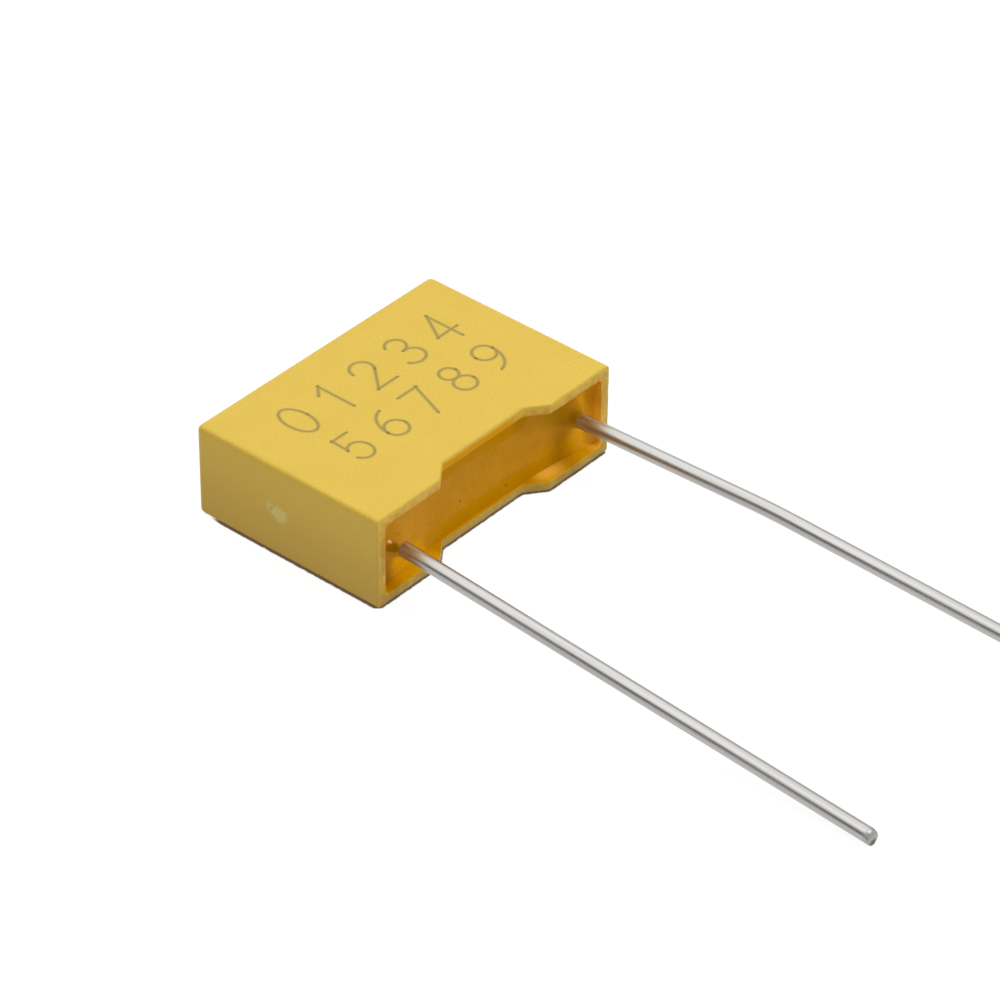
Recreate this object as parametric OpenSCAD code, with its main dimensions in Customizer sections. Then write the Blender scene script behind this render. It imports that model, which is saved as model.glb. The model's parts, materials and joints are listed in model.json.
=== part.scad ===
// Box film capacitor with two wire leads, lying on one of its large faces.
//
// X runs along the lead pitch, +Y to the closed end of the case and +Z up. The origin is the centre of the
// large face that the case rests on, so the leads leave the open end of the case towards -Y.
// All sizes are in millimetres and all angles in degrees.

/* [Moulded case] */
// Width of the case, along the lead pitch
case_w = 13; // [12.4:0.1:18]
// Height of the case, from its feet to its closed end
case_h = 9; // [8.6:0.1:14]
// Thickness of the case, between its two large faces
case_t = 4; // [3.7:0.1:8]
// Thickness of the four side walls
wall = 0.45; // [0.3:0.05:0.6]
// Thickness of the closed end
end_wall = 0.6; // [0.4:0.05:0.8]
// Rounding of the four edges that run from the feet to the closed end
edge_r = 0.25; // [0.1:0.05:0.6]
// Rounding of the edges round the closed end
back_r = 0.4; // [0.1:0.05:0.8]
// Rounding of the cavity's corners
cavity_r = 0.2; // [0.1:0.05:0.6]

/* [Notch between the feet] */
// Width of the notch at its floor
notch_floor_w = 4.5; // [2:0.1:5.5]
// Width of the notch at its mouth, in the plane of the feet
notch_mouth_w = 6.2; // [5.8:0.1:8]
// Depth of the notch, which is also the height of the feet
notch_depth = 0.64; // [0.55:0.01:0.75]
// Rounding of the notch's corners
notch_r = 0.3; // [0.1:0.05:0.4]

/* [Leads] */
// Distance between the two leads, centre to centre
pitch = 10; // [9:0.1:10.4]
// Diameter of the wire
lead_d = 0.6; // [0.4:0.05:0.8]
// How far the leads reach beyond the feet
lead_reach = 21.6; // [15:0.1:40]
// Distance from the leads' inner ends to the closed end
lead_root_gap = 1.2; // [0.8:0.1:2.5]
// Height of the left lead's tip over the surface that the case lies on
tip_gap = 0.01; // [0.01:0.01:0.5]
// Height of the left lead's root over the middle of the case's thickness, negative below it
left_offset = -0.1; // [-0.3:0.01:0.3]
// Height of the right lead's root over the middle of the case's thickness
right_offset = 0.17; // [-0.3:0.01:0.3]
// Distance beyond the feet at which both leads bend
bend_out = 0.05; // [0:0.01:0.5]
// Slope of the right lead's first stretch, upwards
right_rise = 1.9; // [0.5:0.1:3]
// Distance beyond the feet at which the right lead bends back down
right_bend_out = 9; // [4:0.1:12]
// Slope of the right lead's last stretch, downwards
right_fall = 1.6; // [0.5:0.1:3]
// Rounding where the shear rolled a wire's edge over as it entered
shear_roll = 0.2; // [0.05:0.01:0.25]
// Slant of the shear's cut across a wire
shear_slant = 6; // [0:0.5:10]

/* [Film winding] */
// Height of the flattened roll, towards the closed end
roll_h = 6; // [4.5:0.1:6.2]
// Resin between the roll and each large wall
roll_side_gap = 0.3; // [0.1:0.05:0.6]
// Resin between the roll and the closed end
roll_back_gap = 0.35; // [0.15:0.05:0.6]
// Thickness of the sprayed metal on each end of the roll
spray_t = 0.3; // [0.15:0.05:0.5]
// Depth that each lead is welded into the sprayed metal
weld_depth = 0.1; // [0.05:0.01:0.14]

/* [Potting] */
// Depth of the resin's lowest point below the feet
fill_depth = 1.25; // [1.1:0.05:1.4]
// Climb of the resin's surface towards the two large walls
side_climb = 0.35; // [0.1:0.05:0.4]
// Climb of the resin's surface towards the two narrow walls
end_climb = 0.45; // [0.1:0.05:0.5]
// Radius of the hollow side of the resin's collar round each lead
collar_r = 0.65; // [0.3:0.05:0.65]
// Thickness of the resin at the top of each collar
collar_lip = 0.03; // [0.02:0.01:0.1]

/* [Hidden] */
$fn = 64;
// Finer steps for the wide, shallow arcs of the resin's surface
surface_fn = 720;
// How far a cutting shape reaches past what it cuts
past = 1;

feet_y = -case_h / 2;
closed_y = case_h / 2;
floor_y = closed_y - end_wall;
mid_z = case_t / 2;
cavity_w = case_w - 2 * wall;
cavity_t = case_t - 2 * wall;

// The roll lies between the sprays, which lie between the leads.
spray_x = pitch / 2 - lead_d / 2 + weld_depth;
roll_len = 2 * (spray_x - spray_t);
roll_t = cavity_t - 2 * roll_side_gap;
roll_y = floor_y - roll_back_gap - roll_h / 2;

// Both leads run straight through the resin and bend in front of it. The left one then droops until its tip
// is over the surface by tip_gap.
root_y = floor_y - lead_root_gap;
left_z = mid_z + left_offset;
right_z = mid_z + right_offset;
left_drop = atan((left_z - lead_d / 2 - tip_gap) / (lead_reach - bend_out));
inner_run = root_y - feet_y + bend_out;
// Each run of a lead is a straight length and the angle that the wire then turns down by, or up if negative.
left_runs = [
    [inner_run, left_drop],
    [(lead_reach - bend_out) / cos(left_drop), 0]
];
right_runs = [
    [inner_run, -right_rise],
    [(right_bend_out - bend_out) / cos(right_rise), right_rise + right_fall],
    [(lead_reach - right_bend_out) / cos(right_fall), 0]
];

// The resin's surface is hollow both ways: an arc across the case, swept along a larger arc.
function arc_radius(half_chord, rise) = (half_chord ^ 2 + rise ^ 2) / (2 * rise);
across_r = arc_radius(cavity_t / 2, side_climb);
along_r = arc_radius(cavity_w / 2, end_climb);
// Depth of the surface below the feet where the leads come through it
depth_at_lead = fill_depth - along_r + sqrt(along_r ^ 2 - (pitch / 2) ^ 2);

// ---- Outlines ----

// The sliver between the corner at p and the arc of radius r that rounds it. The corner's two edges leave p
// in the directions a and b.
module corner_sliver(p, a, b, r) {
    half = abs(a - b) / 2;
    mid = (a + b) / 2;
    reach = r / tan(half);
    centre = p + r / sin(half) * [cos(mid), sin(mid)];
    difference() {
        polygon([p, p + reach * [cos(a), sin(a)], centre, p + reach * [cos(b), sin(b)]]);
        translate(centre) circle(r);
    }
}

// A centred w by h rectangle with all its corners rounded by r
module round_rect(w, h, r) {
    difference() {
        square([w, h], center = true);
        for (a = [0, 1], b = [0, 1])
            mirror([a, 0]) mirror([0, b]) corner_sliver([w / 2, h / 2], 180, 270, r);
    }
}

// A rectangle from -w / 2 to w / 2 and from feet_y to closed_y, with its two corners at closed_y rounded
module back_rounded_rect(w) {
    difference() {
        translate([-w / 2, feet_y]) square([w, case_h]);
        for (a = [0, 1]) mirror([a, 0]) corner_sliver([w / 2, closed_y], 180, 270, back_r);
    }
}

// The notch that frees the board between the feet, seen from above
module notch_outline() {
    floor_corner = [notch_floor_w / 2, feet_y + notch_depth];
    mouth_corner = [notch_mouth_w / 2, feet_y];
    slope = mouth_corner - floor_corner;
    down_slope = atan2(slope[1], slope[0]);
    below = [mouth_corner[0], feet_y - past];
    difference() {
        polygon([
            [-below[0], below[1]], below, mouth_corner, floor_corner,
            [-floor_corner[0], floor_corner[1]], [-mouth_corner[0], mouth_corner[1]]
        ]);
        for (a = [0, 1]) mirror([a, 0]) corner_sliver(floor_corner, -180, down_slope, notch_r);
    }
    for (a = [0, 1]) mirror([a, 0]) corner_sliver(mouth_corner, 180 + down_slope, 0, notch_r);
}

// The flattened roll seen from its end: two flat sides joined by half-rounds
module roll_outline() {
    straight = roll_h - roll_t;
    square([straight, roll_t], center = true);
    for (s = [-1, 1]) translate([s * straight / 2, 0]) circle(d = roll_t);
}

// ---- Moulded case ----

// The outside of the case: a rounded tube cut to rounded outlines from above and from the side
module case_block() {
    intersection() {
        translate([0, closed_y, mid_z]) rotate([90, 0, 0])
            linear_extrude(case_h) round_rect(case_w, case_t, edge_r);
        linear_extrude(case_t) back_rounded_rect(case_w);
        translate([0, 0, mid_z]) rotate([90, 0, 90])
            linear_extrude(case_w, center = true) rotate(-90) back_rounded_rect(case_t);
    }
}

// The inside of the case, from beyond its open end to its closed end
module cavity() {
    translate([0, floor_y, mid_z]) rotate([90, 0, 0])
        linear_extrude(case_h) round_rect(cavity_w, cavity_t, cavity_r);
}

module case() {
    color("goldenrod") difference() {
        case_block();
        cavity();
        translate([0, 0, -past]) linear_extrude(case_t + 2 * past) notch_outline();
    }
}

// ---- Film winding and its sprayed ends ----

module roll_slab(x, thickness) {
    translate([x, roll_y, mid_z]) rotate([90, 0, 90]) linear_extrude(thickness) roll_outline();
}

module film_winding() {
    color("silver") roll_slab(-roll_len / 2, roll_len);
}

module end_spray_left() {
    color("darkgray") difference() {
        roll_slab(-spray_x, spray_t);
        lead_left();
    }
}

module end_spray_right() {
    color("darkgray") difference() {
        roll_slab(spray_x - spray_t, spray_t);
        lead_right();
    }
}

// ---- Leads ----

// What the shear takes off the end of a wire, seen from the side. The wire comes from the left along the
// first axis and ends at [0, 0]. Its upper edge is rolled over, and the cut slants out to its lower edge.
module shear_outline() {
    top = lead_d / 2;
    rotate(shear_slant) translate([0, -lead_d]) square(2 * lead_d);
    corner_sliver([-top * tan(shear_slant), top], 180, 270 + shear_slant, shear_roll);
}

// A wire that leaves the origin along -Y and follows its runs. It meets itself in a mitre at each of its slight
// bends, and ends in the shear's cut. The turn before this run is bent.
module wire(runs, i = 0, bent = 0) {
    length = runs[i][0];
    turn = runs[i][1];
    lead_in = bent == 0 ? 0 : lead_d;
    difference() {
        translate([0, lead_in, 0]) rotate([90, 0, 0]) cylinder(d = lead_d, h = lead_in + length + lead_d);
        if (bent != 0) rotate([-bent / 2, 0, 0]) translate([-lead_d, 0, -lead_d]) cube(2 * lead_d);
        translate([0, -length, 0]) {
            if (turn != 0) rotate([turn / 2, 0, 0]) translate([-lead_d, -2 * lead_d, -lead_d]) cube(2 * lead_d);
            else rotate([90, 0, -90]) linear_extrude(2 * lead_d, center = true) shear_outline();
        }
    }
    if (turn != 0) translate([0, -length, 0]) rotate([turn, 0, 0]) wire(runs, i + 1, turn);
}

module lead_left() {
    color("gainsboro") translate([-pitch / 2, root_y, left_z]) wire(left_runs);
}

module lead_right() {
    color("gainsboro") translate([pitch / 2, root_y, right_z]) wire(right_runs);
}

// ---- Potting ----

// A slice of a barrel whose bulging side presses the hollow into the resin's surface
module surface_barrel() {
    head = fill_depth + 2 * past;
    sweep = 2 * asin(case_w / 2 / (along_r - head));
    translate([0, feet_y + fill_depth - along_r, mid_z])
        rotate_extrude(angle = sweep, start = 90 - sweep / 2, $fn = surface_fn)
            intersection() {
                translate([along_r - across_r, 0]) circle(across_r);
                translate([along_r - head, -case_t]) square([head + past, 2 * case_t]);
            }
}

// The collar of resin that climbs a lead towards -Y. The origin is on the lead's axis, at the depth of the
// open surface.
module collar() {
    outer = lead_d / 2 + collar_lip + collar_r;
    root = side_climb + end_climb;
    rotate([90, 0, 0]) rotate_extrude() difference() {
        translate([0, -root]) square([outer, root + collar_r]);
        translate([outer, collar_r]) circle(collar_r);
    }
}

// All that the resin leaves open in the cavity
module air_over_resin() {
    difference() {
        surface_barrel();
        translate([-pitch / 2, feet_y + depth_at_lead, left_z]) collar();
        translate([pitch / 2, feet_y + depth_at_lead, right_z]) collar();
    }
}

module potting() {
    color("orange") difference() {
        cavity();
        air_over_resin();
        film_winding();
        end_spray_left();
        end_spray_right();
        lead_left();
        lead_right();
    }
}

case();
potting();
film_winding();
end_spray_left();
end_spray_right();
lead_left();
lead_right();
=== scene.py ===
# %% [markdown]
# # A box film capacitor, from solids to a lit picture
#
# The part is a small moulded box, 13 by 9 by 4 mm, lying on one of its large faces. Its open end is filled with
# amber resin, and two tinned wires come out of the resin. The solids of the part are already exact, so this
# lesson only adds what a solid modeller leaves out: soft edges, the resin's wet surface, drawn wire, ink and light.
#
# Every measure below is in millimetres until a mesh is written, and `MM` turns it into metres.

# %% Load the solids as a fixed frame
import json
import math

import bmesh
import bpy
import numpy as np
from mathutils import Matrix, Vector


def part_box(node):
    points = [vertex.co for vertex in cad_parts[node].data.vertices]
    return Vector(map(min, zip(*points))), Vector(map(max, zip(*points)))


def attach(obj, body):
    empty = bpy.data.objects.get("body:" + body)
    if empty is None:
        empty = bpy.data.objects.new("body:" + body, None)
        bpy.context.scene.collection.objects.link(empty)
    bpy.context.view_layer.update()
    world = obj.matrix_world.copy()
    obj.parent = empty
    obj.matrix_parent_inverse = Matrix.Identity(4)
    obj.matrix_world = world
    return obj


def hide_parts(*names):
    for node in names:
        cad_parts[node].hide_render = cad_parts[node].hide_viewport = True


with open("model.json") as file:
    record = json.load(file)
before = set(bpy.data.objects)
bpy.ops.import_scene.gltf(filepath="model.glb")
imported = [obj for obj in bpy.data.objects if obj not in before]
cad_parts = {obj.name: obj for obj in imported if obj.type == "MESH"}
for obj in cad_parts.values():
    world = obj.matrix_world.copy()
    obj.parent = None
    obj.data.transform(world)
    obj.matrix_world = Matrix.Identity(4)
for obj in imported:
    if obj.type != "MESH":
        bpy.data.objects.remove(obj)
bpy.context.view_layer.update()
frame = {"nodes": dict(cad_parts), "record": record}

MM = 0.001
print("nodes:", ", ".join(sorted(frame["nodes"])))

# %% [markdown]
# ## The camera
#
# The camera comes first, because every later choice is judged through it. It looks down on the open end from the
# left, through a long lens, so parallel edges stay almost parallel. Its place could be found by eye, but two
# angles, a roll and a distance from the middle of the feet describe it fully and are easy to reason about.

# %% Place the camera
TURN, RISE, ROLL = map(math.radians, (-49.532, 36.934, 0.517))
DISTANCE, SIDE, LIFT = 180.487, -0.162, -1.069
SENSOR, LENS = 36.0, 175.314

case_low, case_high = (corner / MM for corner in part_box("case"))
feet_y, closed_y = case_low.y, case_high.y

backward = Vector((math.sin(TURN) * math.cos(RISE), -math.cos(TURN) * math.cos(RISE), math.sin(RISE)))
level = Vector((math.cos(TURN), math.sin(TURN), 0))
upright = backward.cross(level)
right = math.cos(ROLL) * level + math.sin(ROLL) * upright
up = math.cos(ROLL) * upright - math.sin(ROLL) * level
eye = backward * DISTANCE - right * SIDE - up * LIFT + Vector((0, feet_y, 0))

lens = bpy.data.cameras.new("studio_camera")
lens.sensor_width, lens.lens = SENSOR, LENS
lens.clip_start, lens.clip_end = 0.01, 10
camera = bpy.data.objects.new("studio_camera", lens)
camera.matrix_world = Matrix.Translation(eye * MM) @ Matrix((right, up, backward)).transposed().to_4x4()
bpy.context.scene.collection.objects.link(camera)
bpy.context.scene.camera = camera
print("camera at", [round(c, 2) for c in eye], "mm, looking along", [round(-c, 3) for c in backward])

# %% [markdown]
# ## Surfaces from arrays
#
# A moulded box, a meniscus and a wire are all grids that were bent: rows run along the shape and columns run
# round it. Numpy works out all the points of such a grid at once. Joining neighbours gives the faces, and where
# a row shrinks to a line or a point, merging the doubled points closes the surface.

# %% A helper that turns grids of points into a closed mesh
def mesh_of(name, grids, notes=()):
    """Mesh from grids of points, each rows by columns by xyz in millimetres, with columns that close on
    themselves. notes maps a name to one array of vectors a grid, which become an attribute that a material can
    read."""
    corners, faces, count = [], [], 0
    for grid in grids:
        index = count + np.arange(grid.shape[0] * grid.shape[1]).reshape(grid.shape[:2])
        after = np.roll(index, -1, axis=1)
        faces.append(np.stack([index[:-1], after[:-1], after[1:], index[1:]], axis=-1).reshape(-1, 4))
        corners.append(grid.reshape(-1, 3) * MM)
        count += index.size
    mesh = bpy.data.meshes.new(name)
    mesh.from_pydata(np.concatenate(corners).tolist(), [], np.concatenate(faces).tolist())
    for label, arrays in dict(notes).items():
        vectors = np.concatenate([a.reshape(-1, 3) for a in arrays]).astype(np.float32)
        mesh.attributes.new(label, "FLOAT_VECTOR", "POINT").data.foreach_set("vector", vectors.ravel())
    work = bmesh.new()
    work.from_mesh(mesh)
    bmesh.ops.remove_doubles(work, verts=work.verts, dist=1e-7)
    bmesh.ops.dissolve_degenerate(work, edges=work.edges, dist=1e-8)
    bmesh.ops.recalc_face_normals(work, faces=work.faces)
    open_edges = sum(not edge.is_manifold for edge in work.edges)
    work.to_mesh(mesh)
    work.free()
    mesh.shade_smooth()
    mesh.set_sharp_from_angle(angle=math.radians(60))
    print(f"{name}: {len(mesh.polygons)} faces, {open_edges} open edges")
    return mesh


eighths = np.linspace(0, 2 * math.pi, 8, endpoint=False)
tube = np.array([[[math.cos(t), y, math.sin(t)] for t in eighths] for y in (0, 1)])
bpy.data.meshes.remove(mesh_of("trial_tube_with_open_ends", [tube]))

# %% [markdown]
# A mesh is only data until an object shows it. Every object here stays at the origin, unturned and unscaled,
# because its place is already in its points. A piece of the part also rides on the part's only body, and what
# belongs to the studio doesn't, so there are two small functions and not one.

# %% Objects of those meshes
def put(mesh):
    """Object of that mesh, in the scene."""
    thing = bpy.data.objects.new(mesh.name, mesh)
    bpy.context.scene.collection.objects.link(thing)
    return thing


def surface(name, grids, notes=()):
    """A piece of the part: an object of such a mesh, which rides on the only body."""
    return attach(put(mesh_of(name, grids, notes)), "root")


print("pieces made by surface() ride on the body root")

# %% [markdown]
# Two more tools serve every shape. One divides a length into legs, with many rows where the form turns and few
# where it is plain. The other is a soft step, which leaves and arrives level, for anything that sets in slowly.

# %% Uneven steps and a soft step
def steps(start, *legs):
    """Numbers from start through legs of (end, count), each leg evenly divided."""
    out, here = [np.array([start], float)], start
    for there, count in legs:
        out.append(np.linspace(here, there, count + 1)[1:])
        here = there
    return np.concatenate(out)


def smooth(t):
    """0 up to t = 0, 1 from t = 1, and the cubic 3t^2 - 2t^3 between, which leaves and arrives level."""
    t = np.clip(t, 0, 1)
    return t * t * (3 - 2 * t)


print("steps in two legs:", steps(0, (1, 2), (3, 1)))
print("soft step at 0, 1/4, 1/2 and 1:", smooth(np.array([0, 0.25, 0.5, 1])))

# %% [markdown]
# ## The moulded case
#
# The case is injection moulded: walls 0.45 mm thick, a closed end with a soft edge, and a shallow notch between
# its feet. It could be a box with bevels, but the bevels would meet in hard little corners. Here one rounded
# rectangle is carried along the whole section, from the cavity's floor, up its walls, over the rim, down the
# outside and over the closed end, and only its half-sizes and its corner radius change on the way.
#
# The print will lie on the top, and nothing may rise above the solid, so the shown box is lower than the solid
# one by the thickness of the ink. Columns crowd where the notch will be cut, and thin out elsewhere.

# %% Columns: once round a rounded rectangle
WALL, END_WALL, EDGE_R, BACK_R, CAVITY_R = 0.45, 0.6, 0.2, 0.27, 0.2
INK = 0.003
half_w = case_high.x
half_t = (case_high.z - case_low.z - INK) / 2
mid_z = case_low.z + half_t
KEEP = 4.5

across = steps(-half_w + EDGE_R, (-KEEP, 14), (-3.4, 10), (-1.8, 32), (1.8, 34), (3.4, 32), (KEEP, 10),
               (half_w - EDGE_R, 14))
upward = steps(-1, (-0.9, 4), (0.9, 14), (1, 4))
bend = np.linspace(0, math.pi / 2, 9)[1:-1]


def straight_side(x, z, normal_x, normal_z):
    """Columns of a straight side: anchors x and z, of which one may be a single number, and one normal."""
    x, z = np.broadcast_arrays(np.asarray(x, float), np.asarray(z, float))
    return np.stack([x, z, np.full(x.shape, float(normal_x)), np.full(x.shape, float(normal_z))])


def corner(sign_x, sign_z, start):
    """Columns of a corner: one anchor, and normals that turn clockwise by a right angle from start."""
    turn = start - bend
    return np.stack([np.full_like(turn, half_w * sign_x), np.full_like(turn, sign_z), np.cos(turn), np.sin(turn)])


anchor_x, anchor_z, normal_x, normal_z = np.concatenate([
    straight_side(across, 1, 0, 1), corner(1, 1, math.pi / 2),
    straight_side(half_w, upward[::-1], 1, 0), corner(1, -1, 0),
    straight_side(across[::-1], -1, 0, -1), corner(-1, -1, -math.pi / 2),
    straight_side(-half_w, upward, -1, 0), corner(-1, 1, math.pi),
], axis=1)
print("columns round the case:", anchor_x.size)


def ring(a, b, r):
    """x and z round a rounded rectangle of half-sizes a and b with corner radius r: the anchor, scaled to the
    straight sides, plus r times the normal. Columns within KEEP of the middle keep their own x, so that the
    notch stays straight, and the rest are squeezed or stretched to fit."""
    reach = np.minimum(np.abs(anchor_x), half_w - EDGE_R)
    beyond = np.maximum(reach - KEEP, 0) / (half_w - EDGE_R - KEEP)
    x = np.sign(anchor_x) * (np.minimum(reach, KEEP) + beyond * (a - r - KEEP)) + normal_x * r
    return x, anchor_z * (b - r) + normal_z * r

# %% [markdown]
# The notch is the only thing that breaks the box's symmetry. Seen from above its outline is a flat floor, an
# arc, a straight slope, an arc and the foot's own level, so one function of x gives the rim's height
# everywhere. The two narrow walls lie outside the notch and get zero from the same function.

# %% The notch's profile
FLOOR_X, MOUTH_X, NOTCH_DEPTH, NOTCH_R = 2.25, 3.1, 0.64, 0.3


def notch(x):
    """Depth of the rim below the feet at x: the floor and the slope meet in an arc, and so do the slope and
    the feet."""
    tilt = math.atan2(NOTCH_DEPTH, MOUTH_X - FLOOR_X)
    tangent = NOTCH_R * math.tan(tilt / 2)
    arc = np.linspace(0, tilt, 16)
    floor_x = FLOOR_X - tangent + NOTCH_R * np.sin(arc)
    floor_y = NOTCH_DEPTH - NOTCH_R * (1 - np.cos(arc))
    foot_x = (MOUTH_X + tangent - NOTCH_R * np.sin(arc))[::-1]
    foot_y = (NOTCH_R * (1 - np.cos(arc)))[::-1]
    return np.interp(np.abs(x), np.concatenate([floor_x, foot_x]), np.concatenate([floor_y, foot_y]))


def ragged(x, z):
    """Small fixed waviness of the rim, never above its level: three sines of x and z, of no common period."""
    return 0.004 * (3 + np.sin(9.1 * x + 1.3 * z) + np.sin(14.3 * x - 5.0 * z + 1.0) + np.sin(3.7 * x + 8.3 * z + 2.0))


print("rim below the feet at x = 0, 2.25, 2.7, 3.1:", np.round(notch(np.array([0, 2.25, 2.7, 3.1])), 3))

# %% [markdown]
# Now the section. The mould leaves the rim's outer edge soft and its inner edge crisper. Extra rows lie close
# to each rounding, because smooth shading spreads from one row to the next, and a flat face should look flat
# right up to its edge. Each point also notes how far it is in from the outside and how far behind the rim, so
# that the plastic can change colour along the section.

# %% Rows: once along the section
RIM_OUT, RIM_IN = 0.07, 0.05
quarter = np.linspace(0, math.pi / 2, 8)


def case_grids():
    """Points of the whole case, and for each its inset, its depth behind the rim and zero. Each row has an
    inset, a corner radius, and a height that starts either from the rim, which dips in the notch, or from the
    closed end; wall rows blend the two. Shrinking rows close the cavity's floor and the closed end."""
    rows, sections = [], []

    def row(inset, radius, from_rim=0.0, from_back=0.0, blend=0.0, shrink=1.0):
        a, b = KEEP + (half_w - inset - KEEP) * shrink, (half_t - inset) * shrink
        x, z = ring(a, b, radius * shrink)
        rim = feet_y + np.where(np.abs(normal_z) > 0.01, notch(x), 0) + ragged(x, z)
        y = (1 - blend) * (rim + from_rim) + blend * (closed_y - from_back)
        rows.append(np.stack([x, y, mid_z + z], axis=-1))
        sections.append(np.stack([np.full_like(x, inset), y - rim, np.zeros_like(x)], axis=-1))

    for shrink in (0.0, 0.5, 0.9, 0.98):
        row(WALL, CAVITY_R, from_back=END_WALL, blend=1, shrink=shrink)
    for blend in steps(1, (0.9, 2), (0.2, 8), (0.02, 10), (0, 1)):
        row(WALL, CAVITY_R, from_rim=RIM_IN, from_back=END_WALL, blend=blend)
    for turn in quarter[1:]:
        row(WALL - RIM_IN * (1 - math.cos(turn)), CAVITY_R, from_rim=RIM_IN * (1 - math.sin(turn)))
    for inset in steps(WALL - RIM_IN, (WALL - RIM_IN - 0.015, 1), (RIM_OUT + 0.02, 4), (RIM_OUT, 1))[1:-1]:
        share = (inset - RIM_OUT) / (WALL - RIM_IN - RIM_OUT)
        row(inset, EDGE_R - RIM_OUT + share * (CAVITY_R - EDGE_R + RIM_OUT))
    for turn in quarter[::-1]:
        inset = RIM_OUT * (1 - math.cos(turn))
        row(inset, EDGE_R - inset, from_rim=RIM_OUT * (1 - math.sin(turn)))
    for blend in steps(0, (0.005, 1), (0.03, 1), (0.12, 4), (0.96, 18), (0.99, 2), (0.997, 1))[1:]:
        row(0, EDGE_R, from_rim=RIM_OUT, from_back=BACK_R, blend=blend)
    for turn in np.linspace(0, math.pi / 2, 11):
        row(BACK_R * (1 - math.cos(turn)), EDGE_R * math.cos(turn) + 0.02,
            from_back=BACK_R * (1 - math.sin(turn)), blend=1)
    for shrink in (0.985, 0.9, 0.6, 0.3, 0.0):
        row(BACK_R, 0.02, blend=1, shrink=shrink)
    return [np.array(rows)], [np.array(sections)]


case_points, case_sections = case_grids()
moulded_case = surface("moulded_case", case_points, {"section": case_sections})
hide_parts("case")

# %% [markdown]
# ## The wires
#
# Each wire is one circle carried along a path. The path is the wire's slope added up along its length, and where
# the slope changes it does so over a millimetre or more, as soft copper does when a finger pushes it. The record
# of the part says where each wire's outer stretch lies, so the bends follow from that.

# %% Where the wires run
WIRE_R, BEND_OUT, RIGHT_BEND, RIGHT_RISE = 0.3, 0.05, 9.0, math.radians(1.9)
HOLD_BACK = 0.004
pins = {mount["name"]: mount for mount in frame["record"]["mounts"] if mount["kind"] == "pin"}


def pin_line(name, y):
    """x and z where a wire's outer stretch crosses y: along the pin's axis from the middle of the pin."""
    place, axis = (np.array(pins[name][key]) for key in ("pos_m", "axis"))
    at = place / MM + axis * (y - place[1] / MM) / axis[1]
    return at[0], at[2]


bend_y = feet_y - BEND_OUT
left_fall, right_fall = (math.asin(-pins[name]["axis"][2]) for name in ("lead_left", "lead_right"))
left_x, left_z = pin_line("lead_left", bend_y)
right_x, crest_z = pin_line("lead_right", feet_y - RIGHT_BEND)
right_z = crest_z - (RIGHT_BEND - BEND_OUT) * math.tan(RIGHT_RISE)
root_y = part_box("lead_left")[1].y / MM
tip_y = min(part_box(name)[0].y for name in ("lead_left", "lead_right")) / MM + HOLD_BACK
print("wires leave the resin at z =", round(left_z, 3), "and", round(right_z, 3), "and end at y =", round(tip_y, 3))

# %% [markdown]
# A shear cut the wires to length. It rolled their upper edge over as it entered and left a slanted face with a
# fine burr below. The last rows of each grid shape that end: the edge radius is wide at the top and
# narrow at the bottom, and the reach of each column follows the slant. The left wire came out a little shorter.
#
# A curve with a round bevel would give the wire too, but no cut end, and no record of each point's place on the
# straight wire. That place is kept as a note, so that the streaks of drawing can follow the bends.

# %% Carry a circle along a wire
ROLL_TOP, ROLL_BOTTOM, SLANT, BURR = 0.22, 0.02, math.tan(math.radians(6)), 0.018


def wire_grid(x, z, bends, end_y):
    """Circle along a path from the root to end_y, and each point's place on the wire before it was bent. The
    slope is a sum of soft steps, one a bend, and the height is the running sum of the slope. On the end face a
    column at a share lift of the radius reaches run - SLANT * radius * lift, less the roll of its edge."""
    y = steps(root_y, (-2.5, 12), (-6.5, 80), (-12.0, 40), (-15.0, 60), (end_y + 0.5, 80), (end_y + 0.28, 6))
    slope = sum(rise * smooth((at - y) / width + 0.5) for at, width, rise in bends)
    grade = np.tan(slope)
    height = z - np.concatenate([[0], np.cumsum((grade[1:] + grade[:-1]) / 2 * np.diff(y))])
    angle = np.linspace(0, 2 * math.pi, 64, endpoint=False)
    side, lift = np.cos(angle), np.sin(angle)

    def circle(radius, at_y, at_z, lean, reach=0.0):
        return np.stack(np.broadcast_arrays(
            x + radius * side,
            at_y - reach * np.cos(lean) + radius * lift * np.sin(lean),
            at_z + reach * np.sin(lean) + radius * lift * np.cos(lean)), axis=-1)

    body = circle(WIRE_R, y[:, None], height[:, None], slope[:, None])
    lean, run = slope[-1], (y[-1] - end_y) / math.cos(slope[-1]) - BURR - 0.02
    roll = ROLL_BOTTOM + (ROLL_TOP - ROLL_BOTTOM) * smooth((lift + 0.3) / 1.1)
    burr = BURR * smooth((-lift - 0.8) / 0.2)
    ends = []
    for turn in np.linspace(0.1, math.pi / 2, 9):
        radius = WIRE_R - roll * (1 - math.cos(turn))
        reach = run - SLANT * radius * lift - roll * (1 - math.sin(turn)) + burr
        ends.append(circle(radius, y[-1], height[-1], lean, reach))
    for share in (0.7, 0.35, 0.0):
        ends.append(circle((WIRE_R - roll) * share, y[-1], height[-1], lean, run - SLANT * WIRE_R * lift * share))
    inner = np.broadcast_to(body[0].mean(axis=0), body[:1].shape)
    grid = np.concatenate([inner, body, np.array(ends)])
    straight = np.stack([np.broadcast_to(side * WIRE_R, grid.shape[:2]),
                         grid[..., 1],
                         np.broadcast_to(lift * WIRE_R, grid.shape[:2])], axis=-1)
    return [grid], [straight]


print("the shear leaves the end", round(math.degrees(math.atan(SLANT)), 1), "degrees off square")

# %% [markdown]
# The left wire bends once, where it leaves the resin, and droops until its tip is just over the table. The right
# one rises slightly and then turns down again half way. Each bend is a place, a length over which it happens,
# and a change of slope, and the changes come from the axes that the record gives.

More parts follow.
